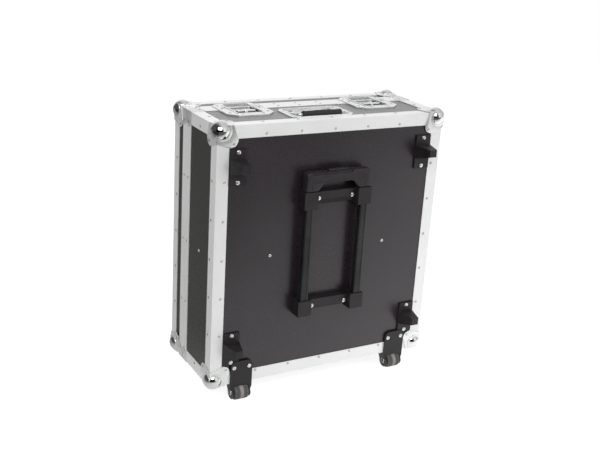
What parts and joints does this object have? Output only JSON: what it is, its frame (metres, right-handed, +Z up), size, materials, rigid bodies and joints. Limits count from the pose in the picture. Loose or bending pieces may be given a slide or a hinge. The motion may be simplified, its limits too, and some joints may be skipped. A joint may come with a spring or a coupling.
{
  "type": "trolley flight case",
  "caption": "Upright flight case with a hinged lid, butterfly latches, ball corners, wedge feet, corner castors, a spring carrying handle and a telescopic pull-out handle.",
  "frame": {"origin": "on the floor, under the centre of the whole part's box", "axes": "+Z up, the standing height; +X across the width, to the right as seen from the trolley-handle side; +Y from the trolley-handle face towards the lid"},
  "size_m": [0.568, 0.276, 0.6319],
  "materials": {
    "black_laminate": "satin black laminate on plywood",
    "plywood": "bare sanded plywood",
    "aluminium": "satin anodised",
    "corner_steel": "bright zinc-plated steel sheet",
    "chrome": "polished",
    "zinc": "zinc-plated steel",
    "black_plastic": "fine-grained moulded black",
    "black_tube": "black anodised tube",
    "grip_rubber": "matt black rubber",
    "wheel_rubber": "dark grey tread"
  },
  "bodies": {
    "case": {"base_ball_corner_bottom_left": "corner_steel", "base_ball_corner_bottom_right": "corner_steel", "base_ball_corner_top_left": "corner_steel", "base_ball_corner_top_right": "corner_steel", "base_closure_frame": "aluminium", "base_depth_angle_bottom_left": "aluminium", "base_depth_angle_bottom_right": "aluminium", "base_depth_angle_top_left": "aluminium", "base_depth_angle_top_right": "aluminium", "base_edge_frame": "aluminium", "base_panel": "black_laminate", "base_wall_bottom": "black_laminate", "base_wall_left": "black_laminate", "base_wall_right": "black_laminate", "base_wall_top": "black_laminate", "castor_axle_left": "zinc", "castor_axle_right": "zinc", "castor_housing_left": "black_plastic", "castor_housing_right": "black_plastic", "divider_board": "plywood", "handle_dish": "chrome", "hinge_base_leaf": "zinc", "hinge_pin": "zinc", "latch_dish_left": "chrome", "latch_dish_right": "chrome", "rear_foot_left": "black_plastic", "rear_foot_right": "black_plastic", "trolley_lower_bracket": "black_plastic", "trolley_outer_tube_left": "black_tube", "trolley_outer_tube_right": "black_tube", "trolley_upper_bracket": "black_plastic", "wedge_foot_high_left": "black_plastic", "wedge_foot_high_right": "black_plastic", "wedge_foot_low_left": "black_plastic", "wedge_foot_low_right": "black_plastic"},
    "lid": {"lid_panel": "black_laminate", "lid_walls": "black_laminate", "lid_edge_frame": "aluminium", "lid_closure_frame": "aluminium", "lid_ball_corner_bottom_left": "corner_steel", "lid_ball_corner_bottom_right": "corner_steel", "lid_ball_corner_top_left": "corner_steel", "lid_ball_corner_top_right": "corner_steel", "latch_catch_dish_left": "chrome", "latch_catch_dish_right": "chrome", "hinge_lid_leaf": "zinc"},
    "castor_left": {"castor_wheel_left": "wheel_rubber"},
    "castor_right": {"castor_wheel_right": "wheel_rubber"},
    "trolley_middle": {"trolley_middle_tube_left": "black_tube", "trolley_middle_tube_right": "black_tube"},
    "trolley_handle": {"trolley_inner_tube_left": "black_tube", "trolley_inner_tube_right": "black_tube", "trolley_grip": "black_plastic"},
    "release_button": {"trolley_release_button": "black_plastic"},
    "carry_handle": {"handle_bail": "chrome", "handle_grip": "grip_rubber"},
    "key_left": {"latch_key_left": "chrome"},
    "key_right": {"latch_key_right": "chrome"},
    "hook_left": {"latch_hook_left": "zinc"},
    "hook_right": {"latch_hook_right": "zinc"}
  },
  "joints": [
    {"name": "lid_hinge", "type": "hinge", "parent": "case", "child": "lid", "pos_m": [0, 0.061, 0.0373], "axis": [-1, 0, 0], "range_deg": [0, 100]},
    {"name": "castor_left_roll", "type": "hinge", "parent": "case", "child": "castor_left", "pos_m": [-0.2012, -0.091, 0.018], "axis": [1, 0, 0], "continuous": true},
    {"name": "castor_right_roll", "type": "hinge", "parent": "case", "child": "castor_right", "pos_m": [0.2012, -0.091, 0.018], "axis": [1, 0, 0], "continuous": true},
    {"name": "trolley_lower_slide", "type": "slide", "parent": "case", "child": "trolley_middle", "axis": [0, 0, 1], "range_m": [0, 0.22]},
    {"name": "trolley_upper_slide", "type": "slide", "parent": "trolley_middle", "child": "trolley_handle", "axis": [0, 0, 1], "range_m": [0, 0.22]},
    {"name": "release_button_press", "type": "slide", "parent": "trolley_handle", "child": "release_button", "axis": [0, 0, -1], "range_m": [0, 0.003], "stiffness_N_per_m": 400, "springref_m": -0.003},
    {"name": "carry_handle_hinge", "type": "hinge", "parent": "case", "child": "carry_handle", "pos_m": [-0.012, 0.007, 0.616], "axis": [-1, 0, 0], "range_deg": [0, 90], "stiffness_Nm_per_rad": 0.3, "springref_deg": -17.19},
    {"name": "key_left_turn", "type": "hinge", "parent": "case", "child": "key_left", "pos_m": [-0.158, 0.023, 0.622], "axis": [0, 0, 1], "range_deg": [0, 180]},
    {"name": "key_right_turn", "type": "hinge", "parent": "case", "child": "key_right", "pos_m": [0.158, 0.023, 0.622], "axis": [0, 0, 1], "range_deg": [0, 180]},
    {"name": "hook_left_slide", "type": "slide", "parent": "case", "child": "hook_left", "axis": [0, 1, 0], "range_m": [0, 0.006]},
    {"name": "hook_right_slide", "type": "slide", "parent": "case", "child": "hook_right", "axis": [0, 1, 0], "range_m": [0, 0.006]}
  ],
  "couplings": [
    {"joint": "hook_left_slide", "follows": "key_left_turn", "m_per_rad": 0.0019098},
    {"joint": "hook_right_slide", "follows": "key_right_turn", "m_per_rad": 0.0019098}
  ]
}
